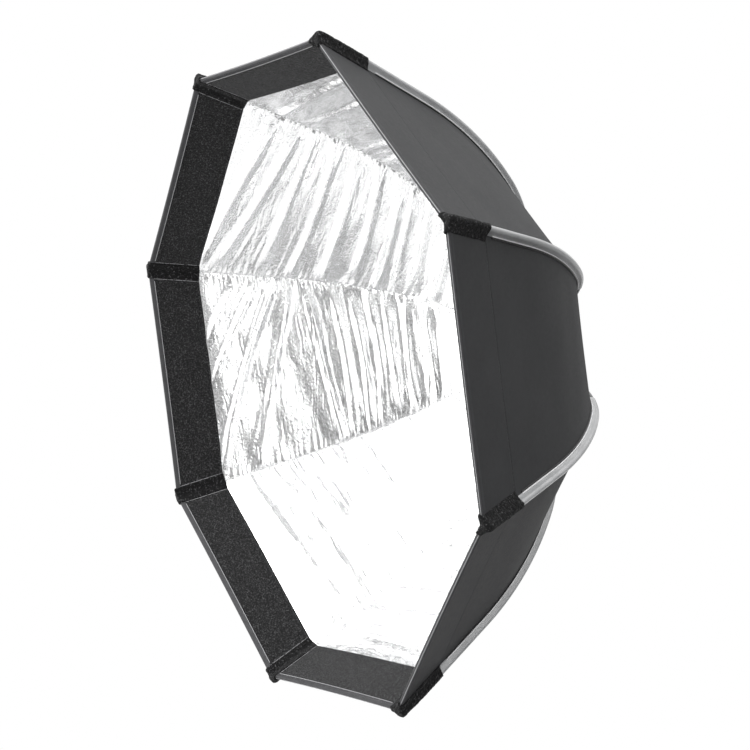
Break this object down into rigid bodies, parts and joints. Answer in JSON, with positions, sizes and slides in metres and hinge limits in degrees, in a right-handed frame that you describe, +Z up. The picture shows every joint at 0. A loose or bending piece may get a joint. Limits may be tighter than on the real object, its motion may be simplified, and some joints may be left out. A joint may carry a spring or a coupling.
{
  "type": "studio softbox",
  "caption": "Folding octagonal softbox: silver-lined fabric on curved ribs, a sliding ring that opens them together, and a rear bayonet mount ring.",
  "frame": {"origin": "centre of the rear bore, in the plane of the face that seats on the light", "axes": "+Z up with flats at top and bottom, light leaves towards -Y, +Y points back into the light"},
  "size_m": [0.6198, 0.3053, 0.6198],
  "materials": {
    "black_nylon": "matt coated ripstop-weight nylon",
    "silver_lining": "crinkled silver reflective cloth",
    "black_loop": "short loop pile tape",
    "black_pile": "brushed pile",
    "grey_webbing": "woven polyester tape",
    "rod_black": "gloss black",
    "lever_plastic": "satin",
    "hub_black": "satin black anodised",
    "bayonet_metal": "turned",
    "runner_plastic": "moulded",
    "grip_rubber": "fluted",
    "steel": "zinc"
  },
  "bodies": {
    "hub": {"collar": "hub_black", "collar_flange": "hub_black", "pivot_ring": "hub_black", "rib_pivot_pins": "steel", "inner_hem": "silver_lining", "hem_clamp_ring": "hub_black", "hem_clamp_screws": "steel", "catch_springs": "steel", "bayonet_ring": "bayonet_metal", "mount_screws": "steel"},
    "runner": {"runner": "runner_plastic", "runner_grip": "grip_rubber"},
    "rib_1": {"rib_rod_1": "rod_black", "rib_lever_1": "lever_plastic", "rib_sleeve_1": "grey_webbing", "corner_pocket_1": "black_pile", "gore_1": "black_nylon", "loop_band_1": "black_loop"},
    "rib_2": {"rib_rod_2": "rod_black", "rib_lever_2": "lever_plastic", "rib_sleeve_2": "grey_webbing", "corner_pocket_2": "black_pile", "gore_2": "black_nylon", "loop_band_2": "black_loop"},
    "rib_3": {"rib_rod_3": "rod_black", "rib_lever_3": "lever_plastic", "rib_sleeve_3": "grey_webbing", "corner_pocket_3": "black_pile", "gore_3": "black_nylon", "loop_band_3": "black_loop"},
    "rib_4": {"rib_rod_4": "rod_black", "rib_lever_4": "lever_plastic", "rib_sleeve_4": "grey_webbing", "corner_pocket_4": "black_pile", "gore_4": "black_nylon", "loop_band_4": "black_loop"},
    "rib_5": {"rib_rod_5": "rod_black", "rib_lever_5": "lever_plastic", "rib_sleeve_5": "grey_webbing", "corner_pocket_5": "black_pile", "gore_5": "black_nylon", "loop_band_5": "black_loop"},
    "rib_6": {"rib_rod_6": "rod_black", "rib_lever_6": "lever_plastic", "rib_sleeve_6": "grey_webbing", "corner_pocket_6": "black_pile", "gore_6": "black_nylon", "loop_band_6": "black_loop"},
    "rib_7": {"rib_rod_7": "rod_black", "rib_lever_7": "lever_plastic", "rib_sleeve_7": "grey_webbing", "corner_pocket_7": "black_pile", "gore_7": "black_nylon", "loop_band_7": "black_loop"},
    "rib_8": {"rib_rod_8": "rod_black", "rib_lever_8": "lever_plastic", "rib_sleeve_8": "grey_webbing", "corner_pocket_8": "black_pile", "gore_8": "black_nylon", "loop_band_8": "black_loop"}
  },
  "joints": [
    {"name": "rib_1_fold", "type": "hinge", "parent": "hub", "child": "rib_1", "pos_m": [0.07206, -0.02921, 0.02985], "axis": [0.3827, 0, -0.9239], "range_deg": [0, 50], "deforming": ["gore_1", "loop_band_1", "inner_hem"]},
    {"name": "rib_2_fold", "type": "hinge", "parent": "hub", "child": "rib_2", "pos_m": [0.02985, -0.02921, 0.07206], "axis": [0.9239, 0, -0.3827], "range_deg": [0, 50], "deforming": ["gore_2", "loop_band_2"]},
    {"name": "rib_3_fold", "type": "hinge", "parent": "hub", "child": "rib_3", "pos_m": [-0.02985, -0.02921, 0.07206], "axis": [0.9239, 0, 0.3827], "range_deg": [0, 50], "deforming": ["gore_3", "loop_band_3"]},
    {"name": "rib_4_fold", "type": "hinge", "parent": "hub", "child": "rib_4", "pos_m": [-0.07206, -0.02921, 0.02985], "axis": [0.3827, 0, 0.9239], "range_deg": [0, 50], "deforming": ["gore_4", "loop_band_4"]},
    {"name": "rib_5_fold", "type": "hinge", "parent": "hub", "child": "rib_5", "pos_m": [-0.07206, -0.02921, -0.02985], "axis": [-0.3827, 0, 0.9239], "range_deg": [0, 50], "deforming": ["gore_5", "loop_band_5"]},
    {"name": "rib_6_fold", "type": "hinge", "parent": "hub", "child": "rib_6", "pos_m": [-0.02985, -0.02921, -0.07206], "axis": [-0.9239, 0, 0.3827], "range_deg": [0, 50], "deforming": ["gore_6", "loop_band_6"]},
    {"name": "rib_7_fold", "type": "hinge", "parent": "hub", "child": "rib_7", "pos_m": [0.02985, -0.02921, -0.07206], "axis": [-0.9239, 0, -0.3827], "range_deg": [0, 50], "deforming": ["gore_7", "loop_band_7"]},
    {"name": "rib_8_fold", "type": "hinge", "parent": "hub", "child": "rib_8", "pos_m": [0.07206, -0.02921, -0.02985], "axis": [-0.3827, 0, -0.9239], "range_deg": [0, 50], "deforming": ["gore_8", "loop_band_8"]},
    {"name": "runner_slide", "type": "slide", "parent": "hub", "child": "runner", "axis": [0, 1, 0], "range_m": [0, 0.0136], "deforming": ["catch_springs"]}
  ],
  "couplings": [
    {"joint": "rib_2_fold", "follows": "rib_1_fold", "ratio": 1},
    {"joint": "rib_3_fold", "follows": "rib_1_fold", "ratio": 1},
    {"joint": "rib_4_fold", "follows": "rib_1_fold", "ratio": 1},
    {"joint": "rib_5_fold", "follows": "rib_1_fold", "ratio": 1},
    {"joint": "rib_6_fold", "follows": "rib_1_fold", "ratio": 1},
    {"joint": "rib_7_fold", "follows": "rib_1_fold", "ratio": 1},
    {"joint": "rib_8_fold", "follows": "rib_1_fold", "ratio": 1},
    {"joint": "runner_slide", "follows": "rib_1_fold", "m_per_rad": 0.015497}
  ]
}
